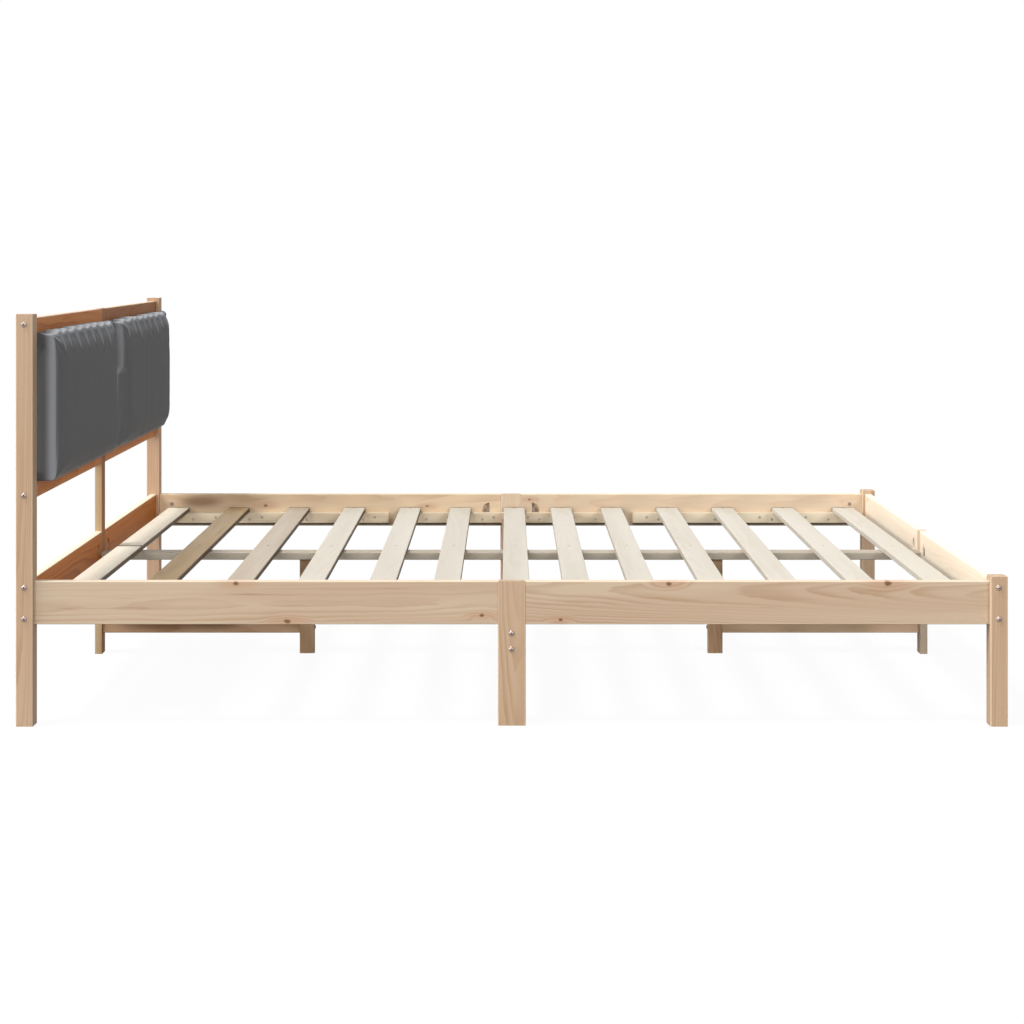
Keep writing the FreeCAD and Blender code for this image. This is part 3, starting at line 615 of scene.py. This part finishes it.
def make_fabric(back):
    """Dark grey woven cover: flecked yarn, with painted light on top and painted shade towards the foot and
    near the back.
    """
    material, tree, shader = new_material("cushion_fabric_woven")
    place = add(tree, "ShaderNodeTexCoord").outputs["Object"]
    normal = add(tree, "ShaderNodeNewGeometry").outputs["Normal"]
    facing = parts_of(tree, normal)
    sides = parts_of(tree, vector_of(tree, "ABSOLUTE", normal))
    weave = 0.0
    for axis, (first, second) in enumerate(((1, 2), (0, 2), (0, 1))):
        share = math_of(tree, "MULTIPLY", sides[axis], sides[axis])
        weave = math_of(tree, "MULTIPLY_ADD", plain_weave(tree, place, first, second), share, weave)

    from_back = math_of(tree, "SUBTRACT", parts_of(tree, place)["X"], back)
    dark_yarn, pale_yarn = [srgb(tone) for tone in YARN_TONES]
    colour = mix_of(tree, noise_of(tree, place, FLECK_SCALE), dark_yarn, pale_yarn)
    # Painted light on top, painted shade on faces towards the foot and near the back, then clouds and weave
    for share, shades in (
        (step_of(tree, facing["Z"], *UP_STEP), PAINTED_TOP_LIGHT_SHADES),
        (step_of(tree, facing["X"], *FRONT_STEP), PAINTED_FOOT_SHADES),
        (step_of(tree, from_back, *PAINTED_BACK_SHADE_STEP), PAINTED_BACK_SHADES),
        (noise_of(tree, place, FADE_SCALE, FINE_DETAIL), FADE_SHADES),
        (weave, WEAVE_SHADES),
    ):
        colour = shaded(tree, colour, between(tree, share, *shades))
    tree.links.new(colour, shader.inputs["Base Color"])
    tree.links.new(between(tree, weave, *FABRIC_ROUGHNESS), shader.inputs["Roughness"])
    shader.inputs["Specular IOR Level"].default_value = FABRIC_SPECULAR
    shader.inputs["Sheen Weight"].default_value = FABRIC_SHEEN
    shader.inputs["Sheen Roughness"].default_value = FABRIC_SHEEN_ROUGHNESS
    add_bump(tree, shader, weave, FABRIC_BUMP, FABRIC_RELIEF)
    return material


def dress_nodes():
    """A material for every solid of wood or steel."""
    group = make_wood_group()
    bolt_steel = make_steel("zinc_steel_bolts", BOLT_TONES)
    screw_steel = make_steel("zinc_steel_screws", SCREW_TONES)
    for name in sorted(nodes):
        materials = nodes[name].data.materials
        slot = materials[0].name
        if slot == "zinc_steel":
            materials[0] = screw_steel if name == "wood_screws" else bolt_steel
        elif slot in WOOD_SLOTS:
            materials[0] = make_wood(name, slot, group)


def object_from(name, data):
    """New object in the scene's collection."""
    made = bpy.data.objects.new(name, data)
    bpy.context.scene.collection.objects.link(made)
    return made


def evaluated_mesh(thing):
    """Copy of an object's mesh with its modifiers applied."""
    graph = bpy.context.evaluated_depsgraph_get()
    return bpy.data.meshes.new_from_object(thing.evaluated_get(graph))


def apply_modifiers(thing):
    """Puts the result of an object's modifiers in place of its mesh."""
    done = evaluated_mesh(thing)
    thing.modifiers.clear()
    old = thing.data
    thing.data = done
    bpy.data.meshes.remove(old)


def rise(value, start, full):
    """Smooth step from 0 at start to 1 at full."""
    share = min(max((value - start) / (full - start), 0.0), 1.0)
    return share * share * (3 - 2 * share)


def cushion_profile(low, high):
    """X and Z of the start shape's section, from the back's foot round the front to its top."""
    outline = [(low.x, low.z)]
    for middle_z, first_turn in ((low.z + START_ROUND, -90), (high.z - START_ROUND, 0)):
        for turn in range(first_turn, first_turn + 91, ROUND_STEP):
            angle = math.radians(turn)
            outline.append((low.x + START_DEPTH - START_ROUND * (1 - math.cos(angle)),
                            middle_z + START_ROUND * math.sin(angle)))
    return outline + [(low.x, high.z)]


def cushion_start(name, low, high):
    """Block with a rounded front, less deep than the cushion, remeshed in even small faces."""
    sheet = bmesh.new()
    outline = cushion_profile(low, high)
    near, far = [[sheet.verts.new((x, y, z)) for x, z in outline] for y in (low.y, high.y)]
    near_cap = sheet.faces.new(near)
    far_cap = sheet.faces.new(far[::-1])
    for index in range(len(outline)):
        after = (index + 1) % len(outline)
        sheet.faces.new((near[after], near[index], far[index], far[after]))
    rounds = [
        ([edge for edge in cap.edges if max(vertex.co.x for vertex in edge.verts) > low.x], size)
        for cap, size in ((near_cap, NEAR_END_ROUND), (far_cap, FAR_END_ROUND))
    ]
    for edges, size in rounds:
        bmesh.ops.bevel(sheet, geom=edges, offset=size, segments=END_SEGMENTS, affect="EDGES", profile=0.5)
    bmesh.ops.recalc_face_normals(sheet, faces=sheet.faces)
    mesh = bpy.data.meshes.new(name)
    sheet.to_mesh(mesh)
    sheet.free()
    cushion = object_from(name, mesh)
    remesh = cushion.modifiers.new("even", "REMESH")
    remesh.mode = "VOXEL"
    remesh.voxel_size = VOXEL
    apply_modifiers(cushion)
    return cushion


def swell(thing, back):
    """Blows the front up with air pressure while back and sides are held, and caps the moves softly."""
    held = thing.vertex_groups.new(name="held")
    rest = [vertex.co.copy() for vertex in thing.data.vertices]
    front = back + START_DEPTH - START_ROUND
    held.add([index for index, place in enumerate(rest) if place.x < front], 1.0, "REPLACE")
    cloth = thing.modifiers.new("swell", "CLOTH")
    cloth.settings.vertex_group_mass = "held"
    cloth.settings.use_pressure = True
    cloth.settings.uniform_pressure_force = SWELL_PRESSURE
    cloth.settings.effector_weights.gravity = 0.0
    cloth.collision_settings.use_collision = False
    scene = bpy.context.scene
    for number in range(1, SWELL_FRAMES + 1):
        scene.frame_set(number)
    swollen = evaluated_mesh(thing)
    thing.modifiers.clear()
    thing.vertex_groups.clear()
    scene.frame_set(1)
    for index, vertex in enumerate(thing.data.vertices):
        move = swollen.vertices[index].co - rest[index]
        length = SWELL_CAP * (1 - math.exp(-move.length / SWELL_CAP))
        vertex.co = rest[index] + move.normalized() * length
    bpy.data.meshes.remove(swollen)


def shape_ends(mesh, low, high):
    """Thins the end towards the far side, and brings the two cushions together in the middle."""
    is_far = low.y > 0
    middle_end = low.y if is_far else high.y
    drop, corner_thin = (CORNER_DROP, CORNER_THIN) if is_far else (MIDDLE_DROP, MIDDLE_THIN)
    bottom_thin, meet_thin = (BOTTOM_THIN, MEET_THIN) if is_far else (0.0, 0.0)
    for vertex in mesh.vertices:
        place = vertex.co
        from_top = high.z - place.z
        from_end = high.y - place.y
        near_corner = rise(from_end, CORNER_REACH, 0.0)
        corner = near_corner * rise(from_top, drop, 0.0)
        bottom = near_corner * rise(place.z - low.z, BOTTOM_DROP, 0.0)
        end = rise(from_end, END_REACH, 0.0)
        meet = rise(abs(place.y - middle_end), MEET_REACH, 0.0) * rise(from_top, *MEET_STEP)
        depth = place.x - low.x
        place.x = (low.x + depth * (1 - corner_thin * corner) * (1 - bottom_thin * bottom)
                   * (1 - END_THIN * end) * (1 - meet_thin * meet))
        draw = BACK_DRAW * rise(depth, BACK_REACH, 0.0)
        place.y = min(max(place.y, low.y + draw), high.y - draw)
        place.y -= math.copysign((abs(middle_end) - MEET_GAP) * meet, middle_end)
        if abs(place.y) < MEET_GAP or place.y * middle_end < 0:
            place.y = math.copysign(MEET_GAP, middle_end)


def fold_height(across):
    """Share of a fold's height: a steep rise from the near side and a slow fall behind it."""
    if across < 0:
        return rise(across, -PUCKER_RISE, 0.0)
    return math.exp(-across / PUCKER_FALL)


def gather_top(mesh, low, high):
    """Folds of the gathered cloth over the top edge, and faint waves in the front."""
    pitch = (high.y - low.y) / PUCKERS
    folds = []
    for number in range(PUCKERS):
        shift = random_draw.uniform(-PUCKER_SHIFT, PUCKER_SHIFT)
        fold_place = low.y + pitch * (number + PUCKER_START + shift)
        height = PUCKER_HEIGHT * random_draw.uniform(*PUCKER_HEIGHTS)
        folds.append((fold_place, height, PUCKER_FADE * random_draw.uniform(*PUCKER_LENGTHS)))
    normals = [vertex.normal.copy() for vertex in mesh.vertices]
    for vertex, normal in zip(mesh.vertices, normals):
        place = vertex.co
        from_top = high.z - place.z
        move = -PUCKER_HEIGHT * PUCKER_SINK * rise(from_top, PUCKER_FADE, PUCKER_TOP)
        for fold_place, height, length in folds:
            if from_top < length:
                across = place.y - fold_place - PUCKER_SLANT * from_top
                move += height * rise(from_top, length, PUCKER_TOP) * fold_height(across)
        wave = noise.noise(Vector((place.y * WAVES_ACROSS, place.z * WAVES_DOWN, WAVE_SLICE)))
        move += WAVE_HEIGHT * wave * max(normal.x, 0.0)
        vertex.co += normal * move * rise(place.x - low.x, *PUCKER_FRONT_STEP)


def open_back(mesh, low, high):
    """Sinks the back inside the hem, so that the plywood shows there."""
    for vertex in mesh.vertices:
        place = vertex.co
        from_edge = min(place.y - low.y, high.y - place.y, place.z - low.z, high.z - place.z)
        if place.x < low.x + VOXEL / 2 and from_edge > HEM_WIDTH:
            place.x = low.x + HEM_DEPTH


def make_cushion(side, fabric):
    """Padded cushion that stands for the cover and its foam."""
    low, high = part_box(f"cushion_cover_{side}")
    cushion = cushion_start(f"cushion_{side}", low, high)
    swell(cushion, low.x)
    smooth = cushion.modifiers.new("smooth", "SUBSURF")
    smooth.levels = 1
    smooth.render_levels = 1
    apply_modifiers(cushion)
    shape_ends(cushion.data, low, high)
    gather_top(cushion.data, low, high)
    open_back(cushion.data, low, high)
    cushion.data.materials.clear()
    cushion.data.materials.append(fabric)
    for polygon in cushion.data.polygons:
        polygon.use_smooth = True
    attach(cushion, "root")
    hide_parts(f"cushion_cover_{side}", f"cushion_foam_{side}")


def seen_ray(tree):
    """1 for camera, glossy and transmission rays, which show the white background."""
    path = add(tree, "ShaderNodeLightPath").outputs
    either = math_of(tree, "MAXIMUM", path["Is Camera Ray"], path["Is Glossy Ray"])
    return math_of(tree, "MAXIMUM", either, path["Is Transmission Ray"])


def make_floor():
    """White studio floor that keeps a soft shadow."""
    sheet = bmesh.new()
    bmesh.ops.create_grid(sheet, x_segments=1, y_segments=1, size=FLOOR_SIZE / 2)
    mesh = bpy.data.meshes.new("floor")
    sheet.to_mesh(mesh)
    sheet.free()
    floor = object_from("floor", mesh)
    material, tree, shader = new_material("floor_white")
    tree.nodes.remove(shader)
    white = add(tree, "ShaderNodeEmission", {"Color": (1, 1, 1, 1), "Strength": 1.0}).outputs[0]
    bright, dim = [
        add(tree, "ShaderNodeBsdfDiffuse", {"Color": (grey, grey, grey, 1)}).outputs[0]
        for grey in (FLOOR_WHITE, FLOOR_BOUNCE)
    ]
    shown = add(tree, "ShaderNodeMixShader", {0: FLOOR_SHADOW, 1: white, 2: bright}).outputs[0]
    both = add(tree, "ShaderNodeMixShader", {0: seen_ray(tree), 1: dim, 2: shown}).outputs[0]
    tree.links.new(both, tree.nodes["Material Output"].inputs["Surface"])
    mesh.materials.append(material)


def make_world():
    """Even white sky, brighter where it is seen than where it lights."""
    world = bpy.data.worlds.new("studio")
    bpy.context.scene.world = world
    world.use_nodes = True
    tree = world.node_tree
    background = tree.nodes["Background"]
    background.inputs["Color"].default_value = (1, 1, 1, 1)
    tree.links.new(between(tree, seen_ray(tree), SKY, 1.0), background.inputs["Strength"])


def make_lamps():
    """Soft suns from the upper left, the left, both sides of the front and the back."""
    for name, lamp in LAMPS.items():
        light = bpy.data.lights.new(f"lamp_{name}", "SUN")
        light.energy = lamp["strength"] * math.pi
        light.angle = math.radians(lamp["spread"])
        made = object_from(f"lamp_{name}", light)
        made.rotation_mode = "QUATERNION"
        made.rotation_quaternion = Vector(lamp["towards"]).to_track_quat("Z", "Y")


def make_camera():
    """Level camera with the photograph's framing."""
    camera = bpy.data.cameras.new("camera")
    camera.lens = CAMERA_LENS
    camera.sensor_width = CAMERA_SENSOR
    camera.shift_x, camera.shift_y = CAMERA_SHIFT
    camera.clip_end = CAMERA_REACH
    made = object_from("camera", camera)
    made.location = CAMERA_PLACE
    made.rotation_euler = (math.radians(90), 0, 0)
    bpy.context.scene.camera = made


dress_nodes()
fabric = make_fabric(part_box("cushion_cover_right")[0].x)
for side in ("right", "left"):
    make_cushion(side, fabric)
make_floor()
make_world()
make_lamps()
make_camera()
bpy.context.scene.view_settings.view_transform = "Standard"
